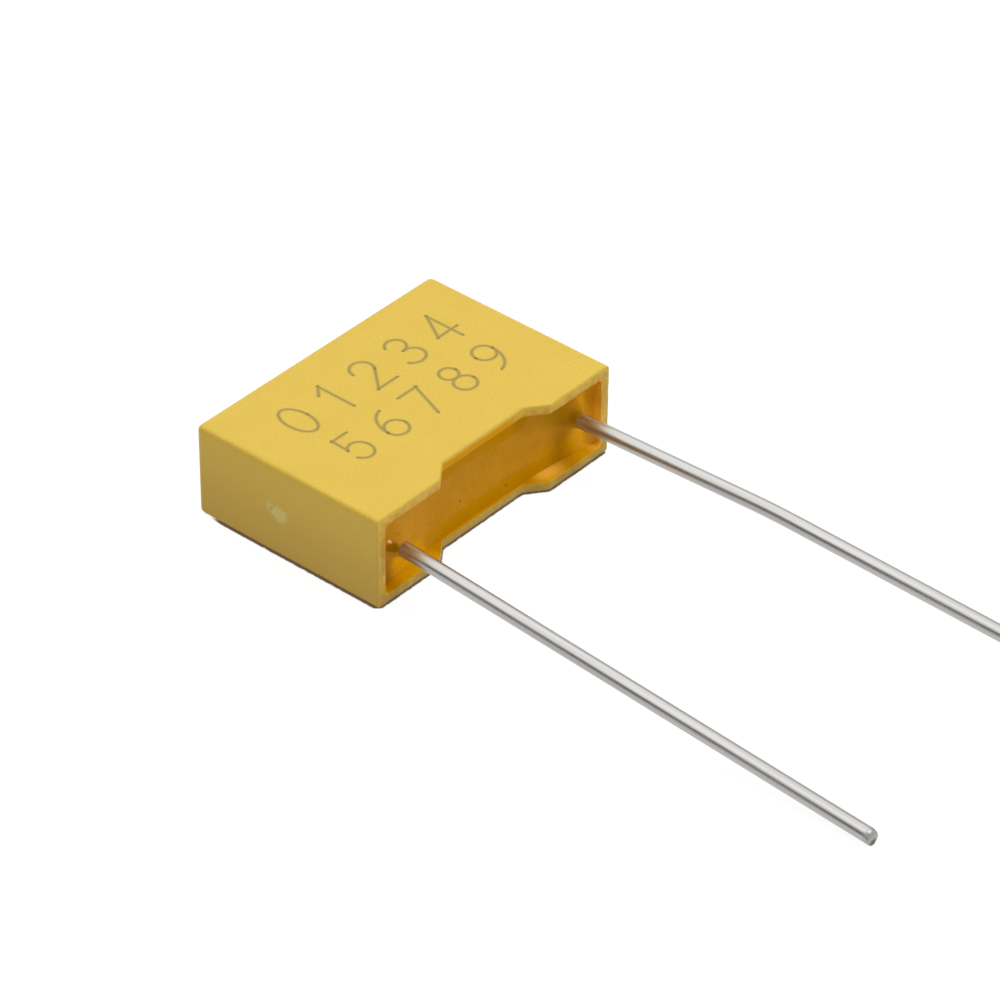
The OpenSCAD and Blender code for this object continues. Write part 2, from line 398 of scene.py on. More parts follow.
# %% Make both wires
SHORTER, ROOT_BEND, MIDDLE_BEND = 0.24, 1.2, 3.0
left_points, left_lay = wire_grid(left_x, left_z, [(bend_y, ROOT_BEND, -left_fall)], tip_y + SHORTER)
right_points, right_lay = wire_grid(right_x, right_z, [
    (bend_y, ROOT_BEND, RIGHT_RISE), (feet_y - RIGHT_BEND, MIDDLE_BEND, -RIGHT_RISE - right_fall)], tip_y)
left_wire = surface("left_wire", left_points, {"lay": left_lay})
right_wire = surface("right_wire", right_points, {"lay": right_lay})
for wire, node in ((left_wire, "lead_left"), (right_wire, "lead_right")):
    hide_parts(node)

# %% [markdown]
# ## The resin
#
# The winding is sealed in with amber resin, poured into the open end and cured there. Its surface is hollow both
# ways: an arc across the case and an arc along it, with a crisp little climb at every wall and a collar up each
# wire. A displaced plane could show that, but the depth is a plain function of place, so it is written as one.
# The resin keeps a hair's breadth off the case, or the two skins would flicker through each other.

# %% The depth of the resin
FILL, SIDE_CLIMB, END_CLIMB = 1.25, 0.35, 0.45
clear = 0.004
cavity_x, cavity_z = half_w - WALL - clear, half_t - WALL - clear


def arc(t, half_chord, rise):
    """Height of a circular arc over its lowest point, at t from the middle: R - sqrt(R^2 - t^2)."""
    radius = (half_chord ** 2 + rise ** 2) / (2 * rise)
    return radius - np.sqrt(radius ** 2 - t ** 2)


def meniscus(t, radius):
    """Climb at a distance t from a wall that a quarter circle meets edge-on: r - sqrt(r^2 - (r - t)^2)."""
    inward = radius - np.clip(t, 0, radius)
    return radius - np.sqrt(radius ** 2 - inward ** 2)


def resin_depth(x, z):
    """Depth below the feet: the deepest point, less the two arcs, less a quarter circle up each wall, less a
    collar that dies away exponentially with the distance from a wire. The climbs add as the root of the sum of
    their squares."""
    depth = FILL - arc(x, half_w - WALL, END_CLIMB) - arc(z - mid_z, half_t - WALL, SIDE_CLIMB)
    climbs = meniscus(cavity_z - np.abs(z - mid_z), 0.10) ** 2 + meniscus(cavity_x - np.abs(x), 0.42) ** 2
    for root_x, root_z, collar in ((left_x, left_z, 0.84), (right_x, right_z, 0.88)):
        away = np.maximum(np.hypot(x - root_x, z - root_z) - WIRE_R, 0)
        climbs = climbs + (collar * np.exp(-away / 0.3)) ** 2
    return depth - np.sqrt(climbs)


print("resin below the feet at the middle:", round(float(resin_depth(0.0, mid_z)), 3))

# %% [markdown]
# The depth is one skin, and a real casting is a solid. So each section of the loft runs over the wet surface,
# down one wall to the cavity's floor, along it and back up the other wall, and the two ends are drawn together.
# Sections crowd towards the narrow walls, because the meniscus there is tight.

# %% Loft the resin through the cavity
def resin_grid():
    """Closed loft along x. Points of a section are spread over the wet surface as the sine of an even step, so
    that they crowd at both walls, and its half-width follows the cavity's round corners as
    a - r + sqrt(r^2 - t^2)."""
    out = steps(4.2, (5.8, 54), (cavity_x - 0.1, 6), (cavity_x, 8))[1:]
    along = np.concatenate([-out[::-1], steps(-4.2, (4.2, 120)), out])
    share = np.sin(steps(-1, (1, 96)) * math.pi / 2)
    turn = np.clip(np.abs(along) - (cavity_x - CAVITY_R), 0, CAVITY_R)
    reach = cavity_z - CAVITY_R + np.sqrt(CAVITY_R ** 2 - turn ** 2)
    z = mid_z + share * reach[:, None]
    x = np.broadcast_to(along[:, None], z.shape)
    wet = np.stack([x, feet_y + resin_depth(x, z), z], axis=-1)
    floor = closed_y - END_WALL - clear
    lower, upper = wet[:, 0], wet[:, -1]
    on_floor = np.array([0, floor, 0])
    no_y = np.array([1, 0, 1])
    path = [upper * (1 - d * (1 - no_y)) + d * on_floor for d in (0.25, 0.5, 0.75, 1)]
    path += [upper * no_y * (1 - s) + lower * no_y * s + on_floor for s in (0.25, 0.5, 0.75, 1)]
    path += [lower * (1 - d * (1 - no_y)) + d * on_floor for d in (0.75, 0.5, 0.25)]
    loops = np.concatenate([wet, np.stack(path, axis=1)], axis=1)
    middles = loops[[0, -1]].mean(axis=1, keepdims=True)
    first, last = (middle + (end - middle) * np.array([0, 0.5])[:, None, None]
                   for middle, end in zip(middles, loops[[0, -1]]))
    return np.concatenate([first, loops, last[::-1]])


resin = surface("resin", [resin_grid()])
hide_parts("potting")

# %% [markdown]
# ## The print
#
# A pad prints two rows of thin strokes on the large face. Plain digits stand there. A text object would bring a
# font along, but the print is monoline, a pen's path of one width, so every digit is a few lines and arcs. A
# nine is a six turned by half a turn, and it is made so.

# %% Digits as pen strokes
def line(*corners):
    """Straight pen strokes through the corners, one a leg, so that their round ends join them."""
    share = np.linspace(0, 1, 12)[:, None]
    return [np.array(a) * (1 - share) + np.array(b) * share for a, b in zip(corners, corners[1:])]


def bow(x, y, rx, ry, start, end):
    """Pen stroke along an ellipse of half-sizes rx and ry about (x, y), between two angles in degrees."""
    turn = np.radians(np.linspace(start, end, 3 + abs(end - start) // 8))
    return [np.stack([x + rx * np.cos(turn), y + ry * np.sin(turn)], axis=-1)]


def half_turn(strokes):
    """The same strokes upside down in a cell 0.56 wide and 1 high."""
    return [np.array([0.56, 1.0]) - stroke for stroke in strokes]


six = bow(0.28, 0.29, 0.28, 0.29, 0, 360) + bow(0.56, 0.29, 0.56, 0.71, 100, 180)
digits = [
    bow(0.28, 0.5, 0.28, 0.5, 0, 360),
    line((0.10, 0.78), (0.32, 1), (0.32, 0)),
    bow(0.28, 0.73, 0.27, 0.27, 175, -38) + line((0.493, 0.564), (0, 0), (0.56, 0)),
    bow(0.27, 0.765, 0.24, 0.235, 150, -90) + bow(0.27, 0.265, 0.29, 0.265, 90, -150),
    line((0.42, 0), (0.42, 1), (0, 0.3), (0.58, 0.3)),
    line((0.52, 1), (0.09, 1), (0.065, 0.526)) + bow(0.28, 0.32, 0.28, 0.32, 140, -150),
    six,
    line((0, 1), (0.56, 1), (0.18, 0)),
    bow(0.28, 0.77, 0.23, 0.23, 0, 360) + bow(0.28, 0.27, 0.28, 0.27, 0, 360),
    half_turn(six),
]
print("digits:", len(digits), "of", sum(len(strokes) for strokes in digits), "strokes")

# %% [markdown]
# Ink from a pad stands a few thousandths of a millimetre above the plastic and thins towards its edge. Each
# stroke becomes a low cushion, a closed section set square to the path, and both ends are rounded off. A flat
# ribbon would do for the colour, but it would have no thickness, and so no inside. The cushion also notes how
# far each point lies from the middle of the stroke and from its ends, where a pen leaves more ink.

# %% Lay the strokes down as ink
PEN = 0.25


def ink(path):
    """Cushion along a flat path: at each point a low closed section is set square to the path. Beyond both ends
    the half-width follows a quarter circle, cos(t) at a distance sin(t), down to nothing. Notes the share of
    the half-width and the distance from the nearer end."""
    ahead = np.gradient(path, axis=0)
    ahead /= np.hypot(*ahead.T)[:, None]
    turn = np.linspace(0, math.pi / 2, 6)[1:]
    before = path[0] - np.sin(turn)[::-1, None] * ahead[0] * PEN / 2
    after = path[-1] + np.sin(turn)[:, None] * ahead[-1] * PEN / 2
    spine = np.concatenate([before, path, after])
    ahead = np.concatenate([np.repeat(ahead[:1], 5, 0), ahead, np.repeat(ahead[-1:], 5, 0)])
    width = np.concatenate([np.cos(turn)[::-1], np.ones(len(path)), np.cos(turn)])
    share = np.array([-1, -0.8, -0.4, 0, 0.4, 0.8, 1, 0])
    lift = np.array([-0.3, 0.6, 0.95, 1, 0.95, 0.6, -0.3, -1]) * INK
    flat = spine[:, None] + share[:, None] * (width[:, None] * np.stack([-ahead[:, 1], ahead[:, 0]], -1))[:, None] \
        * PEN / 2
    height = case_low.z + 2 * half_t + lift * np.where(width > 0.01, 1, 0)[:, None]
    run = np.concatenate([[0], np.cumsum(np.hypot(*np.diff(spine, axis=0).T))])
    end = np.minimum(run, run[-1] - run)
    note = np.stack(np.broadcast_arrays(np.abs(share), end[:, None], 0.0), axis=-1)
    return np.concatenate([flat, height[..., None]], axis=-1), note


print("a stroke of a straight line has", ink(line((0, 0), (0, 1))[0])[0].shape[0], "sections")

# %% [markdown]
# Two rows of plain digits fill the face, a little smaller in the second row. Where a piece is only decoration,
# it doesn't replace a solid: it rides along on top of one.

# %% Set two rows
def row_of_ink(numbers, x, y, pitch, height):
    """Ink of a row of digits: each cell's strokes are scaled to the height and set a pitch apart."""
    return [ink(stroke * height + np.array([x + place * pitch, y]))
            for place, number in enumerate(numbers) for stroke in digits[number]]


printed = row_of_ink(range(5), x=-4.3, y=0.95, pitch=1.97, height=1.78)
printed += row_of_ink(range(5, 10), x=-4.1, y=-1.65, pitch=1.9, height=1.66)
cushions, inks = zip(*printed)
numerals = surface("numerals", cushions, {"pen": inks})

# %% [markdown]
# ## Finishes
#
# A finish is a small program that runs at every point of a surface. Blender draws it as a net of nodes, but a sum
# or a product is easier to read as arithmetic, so a small class lets Python's own operators make the Math nodes.
# Each operator has its reflected form too, or 1 - mask wouldn't work with the number on the left.

# %% Arithmetic on sockets
class Flow:
    """An output socket. Arithmetic on it adds Math nodes, so that 1 - mask is a socket too."""

    def __init__(self, finish, socket):
        self.finish, self.socket = finish, socket

    def __getitem__(self, name):
        return Flow(self.finish, self.socket.node.outputs[name])

    def math(self, operation, *values):
        return self.finish.node("ShaderNodeMath", {"operation": operation}, dict(enumerate(values)))

    def __add__(self, other):
        return self.math("ADD", self, other)

    def __sub__(self, other):
        return self.math("SUBTRACT", self, other)

    def __rsub__(self, other):
        return self.math("SUBTRACT", other, self)

    def __mul__(self, other):
        return self.math("MULTIPLY", self, other)

    def __abs__(self):
        return self.math("ABSOLUTE", self)

    __radd__, __rmul__ = __add__, __mul__

    def between(self, low, high):
        """0 at low, 1 at high, and a smooth step in between; low may be the larger of the two."""
        return self.finish.node("ShaderNodeMapRange", {"interpolation_type": "SMOOTHSTEP"},
                                {"Value": self, "From Min": low, "From Max": high})


print("sockets now take +, -, * and abs(), and between(low, high)")

# %% [markdown]
# Any other node comes from one method. It sets the node's own settings first, because they can change which
# sockets the node has, and then fills each socket with a value or a link. Colours go through a Mix node, since a
# Math node would turn them grey.

# %% One method for every other node
class Net:
    """A tree of nodes, with one method that adds any node to it."""

    def __init__(self, tree):
        self.tree = tree

    def node(self, kind, settings=None, inputs=None):
        """Adds a node: its settings first, then the values or links of its sockets. Gives its first output."""
        made = self.tree.nodes.new(kind)
        for key, value in (settings or {}).items():
            setattr(made, key, value)
        for key, value in (inputs or {}).items():
            if isinstance(value, Flow):
                self.tree.links.new(value.socket, made.inputs[key])
            else:
                made.inputs[key].default_value = value
        return Flow(self, made.outputs[0])

    def mix(self, share, first, second):
        """A colour between two colours, by share."""
        ends = [end if isinstance(end, Flow) else (*end, 1) for end in (first, second)]
        made = self.node("ShaderNodeMix", {"data_type": "RGBA"}, {0: share, 6: ends[0], 7: ends[1]})
        return Flow(self, made.socket.node.outputs[2])

    def parts(self, vector):
        """The x, y and z of a vector, in millimetres where it is a place."""
        made = self.node("ShaderNodeSeparateXYZ", {}, {"Vector": vector})
        return made["X"], made["Y"], made["Z"]


print("a net adds nodes by:", ", ".join(name for name in vars(Net) if not name.startswith("__")))

# %% [markdown]
# Every finish starts alike: a Principled shader, and the object's own coordinates, turned into millimetres so
# that a pattern's size can be read off. Notes that a mesh keeps, noise that can be stretched, the distance from
# a spot and a bump are all that the finishes below need.

# %% A material in millimetres
class Finish(Net):
    """A material with a Principled shader, whose constants are set here and whose links come from feed."""

    def __init__(self, name, **constants):
        self.material = bpy.data.materials.new(name)
        self.material.use_nodes = True
        super().__init__(self.material.node_tree)
        self.shader = self.tree.nodes["Principled BSDF"]
        for key, value in constants.items():
            self.shader.inputs[key.replace("_", " ")].default_value = value
        metres = self.node("ShaderNodeTexCoord")["Object"]
        self.place = self.node("ShaderNodeMapping", {}, {"Vector": metres, "Scale": (1 / MM,) * 3})

    def note(self, name):
        """A vector that the mesh keeps at each point."""
        return self.node("ShaderNodeAttribute", {"attribute_name": name})["Vector"]

    def noise(self, scale, detail=3.0, roughness=0.5, stretch=(1, 1, 1), place=None):
        """Noise with about scale features a millimetre, stretched along any axis."""
        squeezed = self.node("ShaderNodeMapping", {}, {
            "Vector": place or self.place, "Scale": tuple(scale / s for s in stretch)})
        return self.node("ShaderNodeTexNoise", {}, {
            "Vector": squeezed, "Scale": 1.0, "Detail": detail, "Roughness": roughness})

    def spot(self, centre, size):
        """Distance from a centre, in millimetres, with each axis divided by its size: 1 on the ellipsoid."""
        moved = self.node("ShaderNodeMapping", {}, {
            "Vector": self.place, "Location": tuple(-c / s for c, s in zip(centre, size)),
            "Scale": tuple(1 / s for s in size)})
        return self.node("ShaderNodeVectorMath", {"operation": "LENGTH"}, {0: moved})["Value"]

    def bump(self, height, depth):
        """Normals of a height field; depth is in millimetres for a height of one."""
        return self.node("ShaderNodeBump", {}, {"Height": height, "Distance": depth * MM, "Strength": 1.0})

    def feed(self, **links):
        """Links to the shader's sockets, with underscores for the spaces in their names."""
        for key, value in links.items():
            self.tree.links.new(value.socket, self.shader.inputs[key.replace("_", " ")])

    def coat(self, *things):
        """Gives things this material, as their next one."""
        for thing in things:
            thing.data.materials.append(self.material)
        print(f"{self.material.name}: {len(self.tree.nodes)} nodes, on {', '.join(t.name for t in things)}")


print("a finish also knows:", ", ".join(name for name in vars(Finish) if not name.startswith("__")))

# %% [markdown]
# ### Yellow plastic
#
# Such a case is moulded from plastic with a yellow pigment. Pigment never spreads quite evenly, so a broad mottle and
# a fine speckle lie over each other, both faint. Towards the table the plastic is painted darker, as painted shade,
# and its lowest edge gets a painted contact shadow. One flat colour would look like a toy, and a stronger mottle like
# stone.

# %% The yellow itself
# The first colour is painted shade low on the case, the second a painted contact shadow along its lowest edge.
LOW_SHADE, EDGE_SHADOW = (0.37, 0.228, 0.034), (0.16, 0.11, 0.06)


def plastic_colour(finish, z):
    """Yellow with a faint mottle and a finer speckle, and painted shade that makes it darker towards the face it rests
    on."""
    mottle = finish.noise(0.7, 4, 0.6).between(0.3, 0.7)
    speckle = finish.noise(9, 3, 0.6).between(0.3, 0.7)
    clean = finish.mix(mottle, (0.60, 0.41, 0.054), (0.62, 0.43, 0.060))
    clean = finish.mix(speckle * 0.8, clean, (0.555, 0.375, 0.047))
    # Painted shade: darker towards the face the case rests on.
    return finish.mix(z.between(3.9, -0.6), clean, LOW_SHADE)


# Prints the colours of the painted shade low on the case and of the painted contact shadow.
print("colours of the dull plastic and the grime:", LOW_SHADE, EDGE_SHADOW)

# %% [markdown]
# The mould was filled through the left-hand end, and the sprue broke off there. It left a pale rough blot and a
# pin-prick. They are far too small for geometry, so they are spots, distances from a place in the part's own
# millimetres, whose edges noise makes ragged.

# %% The gate mark
BLOT, BLOT_PIN, PRICK = (-half_w, 0.34, 1.92), (-half_w, 0.78, 2.06), (-half_w, 0.74, 2.02)


def gate_mark(finish, colour):
    """The colour with the mark on it, and the mark's height: 1 inside a spot, 0 outside."""
    rough = finish.noise(5, 3, 0.7)
    blot = (finish.spot(BLOT, (1, 0.46, 0.42)) + (rough - 0.5) * 1.4).between(1.05, 0.5)
    pin = (finish.spot(BLOT_PIN, (1, 0.26, 0.30)) + (rough - 0.5) * 1.4).between(1.05, 0.5)
    prick = finish.spot(PRICK, (1, 0.10, 0.10)).between(1.2, 0.6)
    colour = finish.mix((blot * 0.7 + pin * 0.5) * (rough + 0.35), colour, (0.56, 0.50, 0.17))
    return finish.mix(prick * 0.5, colour, (0.30, 0.20, 0.05)), (blot + pin) * rough


print("the gate lies", round(BLOT[1] - feet_y, 2), "mm behind the feet and", BLOT[2], "mm up")

# %% [markdown]
# The rim is handled, dipped and wiped, so it is olive and scuffed, paler where it was rubbed. It lies where the
# section is a little way in from the outside and just behind the rim, which the mesh has noted at each point. So
# the stain follows the notch by itself, where a stain set by place would have to know the notch's outline.

# %% The worn rim
def rim_colour(finish, inset, x, z, wander):
    """Olive, with painted shade that darkens it at the table and painted light that lightens its upper part and its
    lower right-hand side, darker by the inner edge, with scuffs where noise is high and dirt where it is low."""
    # Painted shade: the rim is darker towards the table.
    olive = finish.mix(z.between(0.3, 1.0), (0.40, 0.25, 0.034), (0.475, 0.275, 0.026))
    # Painted light: the upper rim is lighter.
    olive = finish.mix(z.between(2.9, 3.7), olive, (0.62, 0.360, 0.038))
    # Painted light: the rim is lighter low on the right-hand side.
    olive = finish.mix(x.between(4.8, 6.2) * z.between(0.6, 1.4), olive, (0.55, 0.345, 0.050))
    olive = finish.mix((inset + wander * 0.2).between(0.24, 0.42) * 0.55, olive, (0.52, 0.235, 0.006))
    scuff = finish.noise(3.5, 4, 0.7)
    olive = finish.mix(scuff.between(0.50, 0.66) * (0.2 + z.between(0.4, 2) * 0.25), olive, (0.64, 0.46, 0.13))
    return finish.mix(scuff.between(0.54, 0.36) * 0.35, olive, (0.26, 0.17, 0.03))


print("the rim is", round(WALL - RIM_OUT - RIM_IN, 2), "mm wide between its two roundings")

# %% [markdown]
# Resin crept up the cavity's walls when it was poured and dried there as a film. The walls are golden under it.
# Painted light makes them brighter towards the narrow ends, where light reaches them past the wires, and brighter
# still on the right-hand end wall, with one soft painted glare low on the right, and painted shade darkens them just
# behind the rim. A second real layer of resin would be truer, but a film this thin has no visible edge of its own.

# %% The wetted walls
GLARE = (3.65, feet_y + 0.46, 0.45)


def wall_colour(finish, behind, x, wander):
    """Golden, from a darker to a lighter gold as the noise wanders, with painted light that brightens it with the
    distance along x and a painted glare, and painted shade just behind the rim.
    """
    film_and_light = finish.mix(wander + 0.5, (0.52, 0.24, 0.0003), (0.57, 0.265, 0.0006))
    # Painted light: the walls are brighter towards the narrow ends.
    film_and_light = finish.mix(abs(x).between(2.7, 3.3), film_and_light, (0.70, 0.35, 0.002))
    # Painted light: the right-hand end wall is brighter still.
    film_and_light = finish.mix(x.between(5.4, 5.95), film_and_light, (0.86, 0.46, 0.028))
    # Painted shade just behind the rim.
    film_and_light = finish.mix(behind.between(0.08, 0.02) * 0.35, film_and_light, (0.44, 0.235, 0.012))
    # A painted glare, low on the right.
    glare = finish.spot(GLARE, (1.05, 0.5, 0.5)).between(1.1, 0.05)
    return finish.mix(glare, film_and_light, (0.95, 0.53, 0.060))


print("the glare lies", round(half_w - GLARE[0], 2), "mm from the right-hand end")

# %% [markdown]
# Now the zones are laid over each other, from the outside inwards: yellow, with painted shade on the two ends, the
# olive rim, a little resin spilt on the upper rim in the notch, and the wetted walls. The painted contact shadow at
# the table comes last, since it covers all of them but the inside. Each border wanders a little with one slow noise,
# because nothing poured keeps a line.

# %% Lay the zones over each other
def section_colour(finish):
    """Colour of the whole section, and the height of the gate mark. Every zone is a product of soft steps in
    the inset, the depth behind the rim and the place."""
    inset, behind, _ = finish.parts(finish.note("section"))
    x, _, z = finish.parts(finish.place)
    wander = finish.noise(1.3, 3, 0.6) - 0.5
    plain = plastic_colour(finish, z)
    # Painted shade: the two ends and their rounded edges are darker and a deeper yellow.
    plain = finish.mix(abs(x).between(6.38, 6.47) * 0.45, plain, (0.52, 0.32, 0.034))
    colour, blot = gate_mark(finish, plain)
    on_rim = (inset + wander * 0.1).between(0.04, 0.2) * behind.between(0.3, 0.1)
    colour = finish.mix(on_rim, colour, rim_colour(finish, inset, x, z, wander))
    spill = (inset + wander * 0.12).between(0.10, 0.2) * behind.between(0.3, 0.12) * z.between(3.0, 3.4)
    spill = spill * (abs(x + 0.3) + wander * 0.6).between(2.25, 1.6)
    colour = finish.mix(spill, colour, (0.61, 0.265, 0.004))
    inside = (inset + wander * 0.08).between(0.36, 0.44)
    colour = finish.mix(inside, colour, wall_colour(finish, behind, x, wander))
    # Painted contact shadow along the lowest edge, over every zone but the inside.
    return finish.mix((z + wander * 0.08).between(0.13, 0.03) * (1 - inside), colour, EDGE_SHADOW), blot


plastic = Finish("yellow_plastic", Roughness=0.48, Specular_IOR_Level=0.18)
film = Finish("resin_film", Roughness=0.4, Specular_IOR_Level=0.012)
for finish in (plastic, film):
    colour, blot = section_colour(finish)
    grain = finish.noise(9, 3, 0.6)
    finish.feed(Base_Color=colour, Normal=finish.bump(grain + blot * 6, 0.002))
    finish.coat(moulded_case)

# %% [markdown]
# Both finishes have the same colours and differ only in their shine: dry plastic has a sheen, and the film in the
# cavity is dull and amber in its highlights. Which face is which can be told from the note of the section, and
# numpy reads the notes of all the faces at once.

# %% Give the wetted faces the dull finish
def wet_faces(mesh):
    """Which faces belong to the cavity or to the upper rim in the notch: a face's inset is the mean over its
    corners."""
    section = np.empty(len(mesh.vertices) * 3, np.float32)
    mesh.attributes["section"].data.foreach_get("vector", section)
    corners = np.empty(len(mesh.loops), np.int32)
    mesh.loops.foreach_get("vertex_index", corners)
    starts = np.empty(len(mesh.polygons), np.int32)
    mesh.polygons.foreach_get("loop_start", starts)
    sizes = np.diff(np.append(starts, len(mesh.loops)))
    inset = np.add.reduceat(section.reshape(-1, 3)[corners, 0], starts) / sizes
    centres = np.empty(len(mesh.polygons) * 3, np.float32)
    mesh.polygons.foreach_get("center", centres)
    x, _, z = centres.reshape(-1, 3).T / MM
    return (inset > 0.41) | ((inset > 0.08) & (np.abs(x) < 2.4) & (z > 3.4))


wet = wet_faces(moulded_case.data)
moulded_case.data.polygons.foreach_set("material_index", wet.astype(np.int32))
print("wetted faces:", int(wet.sum()), "of", wet.size)

# %% [markdown]
# ### Amber resin
#
# Epoxy with amber dye is brown where it is deep and gold where it thins out towards a wall or a wire. Real scattering
# under the surface would be slow and would change little at this size, so depth is only suggested by the brown middle,
# and the zone by the lower wall is darker. Painted light makes the left part, which faces the light, paler, with a
# brighter patch low on the left, and lightens the resin low on the right and by the right-hand end.

# %% The resin's broad zones
amber = Finish("amber_resin", Roughness=0.32, Specular_IOR_Level=0.012, Specular_Tint=(1.0, 0.7, 0.2, 1))
swirl = amber.noise(1.2, 3, 0.5)
rx, _, rz = amber.parts(amber.place)
from_wall = rz - (mid_z - cavity_z)
fleck = amber.noise(9, 3, 0.6).between(0.3, 0.7)
brown = amber.mix(swirl.between(0.3, 0.7), (0.50, 0.225, 0.010), (0.54, 0.245, 0.014))
tint = amber.mix((from_wall + swirl * 0.16).between(0.51, 0.40), brown, (0.50, 0.22, 0.0003))
upper = (rz - swirl * 0.1).between(2.38, 2.5) * abs(rx).between(3.2, 2.4)
tint = amber.mix(upper, tint, (0.50, 0.22, 0.0003))
# Painted light: the left part, which faces the light, is paler.
tint = amber.mix(rx.between(-1.8, -3.8), tint, (0.60, 0.28, 0.020))
# Painted light: a brighter patch low on the left, by the lower wall.
bright = rx.between(-2.9, -3.3) * (from_wall + swirl * 0.3).between(0.75, 0.5)
tint = amber.mix(bright, tint, amber.mix(rx.between(-4.6, -5.3), (0.74, 0.36, 0.003), (0.58, 0.27, 0.015)))
# Painted light: the resin low on the right is paler.
tint = amber.mix(rx.between(2.6, 4.2) * (rz + swirl * 0.2).between(1.5, 0.95), tint, (0.60, 0.275, 0.0003))
# Painted light: the resin by the right-hand end is paler.
tint = amber.mix(rx.between(4.9, 5.8), tint, (0.78, 0.40, 0.018))
print("the resin's zones take", len(amber.tree.nodes), "nodes")

# %% [markdown]
# Small marks make the casting believable: a painted shadow under the right wire, painted shade beside the roots of
# both wires, a painted glint on a small bubble, and two specks of dust. Each is a spot with its own size along each
# axis, deep in y, so that it meets the curved surface wherever that lies.

# %% Painted shade, a painted glint and specks
SHADOW = (4.4, feet_y + 0.3, 2.4), (1.1, 2.0, 0.8)
ROOT_SHADES = (((-5.39, feet_y + 0.32, 2.03), (0.22, 0.5, 0.20)),
           ((-5.27, feet_y + 0.2, 2.1), (0.12, 0.4, 0.2)),
           ((4.84, feet_y + 0.18, 2.35), (0.3, 0.6, 0.3)))
BUBBLE_GLINT = (-5.36, feet_y + 0.46, 2.25), (0.07, 0.3, 0.07)
SPECKS, SPECK_SIZE = ((-0.71, feet_y + 1.1, 1.13), (1.68, feet_y + 0.94, 0.61)), (0.05, 0.2, 0.05)

tint = amber.mix(amber.spot(*SHADOW).between(1.0, 0.2) * 0.7, tint, (0.36, 0.185, 0.003))
# Painted shade beside the roots of the wires.
for place, size in ROOT_SHADES:
    root_shade = (amber.spot(place, size) + swirl * 0.4 - 0.2).between(1.1, 0.5)
    tint = amber.mix(root_shade * 0.7, tint, (0.25, 0.125, 0.0))
# A painted glint on a small bubble by the left wire.
tint = amber.mix(amber.spot(*BUBBLE_GLINT).between(1.1, 0.4) * 0.9, tint, (1.0, 0.72, 0.30))
for place in SPECKS:
    speck = amber.spot(place, SPECK_SIZE).between(1.2, 0.7)
    tint = amber.mix(speck * 0.7, tint, (0.22, 0.07, 0.002))
tint = amber.mix(fleck * 0.18, tint, (0.22, 0.10, 0.0))
amber.feed(Base_Color=tint, Normal=amber.bump(swirl, 0.02))
amber.coat(resin)

# %% [markdown]
# ### Tinned wire
#
# The wire is drawn through a die and dipped in tin, so it is bright metal with fine streaks along its length.
# Noise stretched eighty times along the straight wire gives the streaks, and because it reads the note and not the
# place, they turn with the bends. Near the resin the tin is brown, partly a real stain and partly a painted reflection
# of the amber resin, and it is partly coated, which makes it less of a metal there. At the shear the cut face is
# rough, with painted shade under the burr below.

# %% Tin
tin = Finish("tinned_copper", Metallic=1.0)
lay = tin.note("lay")
streak = tin.noise(8, 3, 0.6, (1, 80, 1), lay)
blotch = tin.noise(1.5, 3, 0.6, (1, 3, 1), lay)
_, along, over_axis = tin.parts(lay)
bare = tin.mix(streak.between(0.3, 0.7), (0.39, 0.38, 0.365), (0.48, 0.47, 0.455))
# Brown near the resin: partly a real stain, partly a painted reflection of the amber resin.
stain_and_reflection = (along + blotch * 1.4 - 0.7).between(feet_y - 1.5, feet_y - 0.4)
coated = (along + blotch * 0.5 - 0.25).between(feet_y - 0.35, feet_y + 0.25)
drawn = tin.noise(5, 3, 0.7, (1, 12, 1), lay).between(0.35, 0.65)
cut = along.between(tip_y + 0.65, tip_y + 0.3)
# Painted shade under the burr at the cut end.
burr_shade = along.between(tip_y + 0.36, tip_y + 0.28) * over_axis.between(-0.1, -0.28)
bare = tin.mix(burr_shade * 0.8, bare, (0.12, 0.11, 0.10))
brown = tin.mix(drawn, (0.27, 0.15, 0.03), (0.66, 0.50, 0.27))
brown = tin.mix(coated * 0.8, brown, (0.24, 0.12, 0.01))
tin.feed(Base_Color=tin.mix(stain_and_reflection * 0.85, bare, brown), Metallic=1 - stain_and_reflection * 0.2 - coated * 0.5,
         Roughness=0.22 + streak * 0.14 + blotch * 0.06 + drawn * stain_and_reflection * 0.15 + cut * 0.25,
         Normal=tin.bump(streak, 0.004))
tin.coat(left_wire, right_wire)

# %% [markdown]
# ### Ink
#
# A grey ink from a pad soaks into the plastic and lets it show through, more so at the edge of a stroke. A
# transparent shader would cost light paths for that, so the ink's colour is mixed from the very plastic below it
# and a dark pigment. The note of the pen says how far out a point lies, and the stroke's ends are darker.

# %% Ink
wash = Finish("print_ink", Roughness=0.5, Specular_IOR_Level=0.25)
across_pen, to_stroke_end, _ = wash.parts(wash.note("pen"))
patchy = wash.noise(9, 3, 0.6)
_, _, pz = wash.parts(wash.place)
soft = (across_pen + (patchy - 0.5) * 0.5).between(1.0, 0.0)
dots = to_stroke_end.between(0.22, 0.08)
pigment = wash.mix(dots * 0.6, (0.23, 0.175, 0.036), (0.13, 0.10, 0.03))
wash.feed(Base_Color=wash.mix(soft * (0.7 + patchy * 0.4), plastic_colour(wash, pz), pigment))
wash.coat(numerals)

# %% [markdown]
# ### What the resin hides
#
# The winding is a roll of film with a metal skin, and its two ends are sprayed with metal, so that the wires can
# be joined to them. Nobody sees them, but someone may open the model, so they have finishes as well: fine layers
# on the winding and a coarse grit on the sprayed ends. Their solids stay as they are, and only their material
# slots are filled.

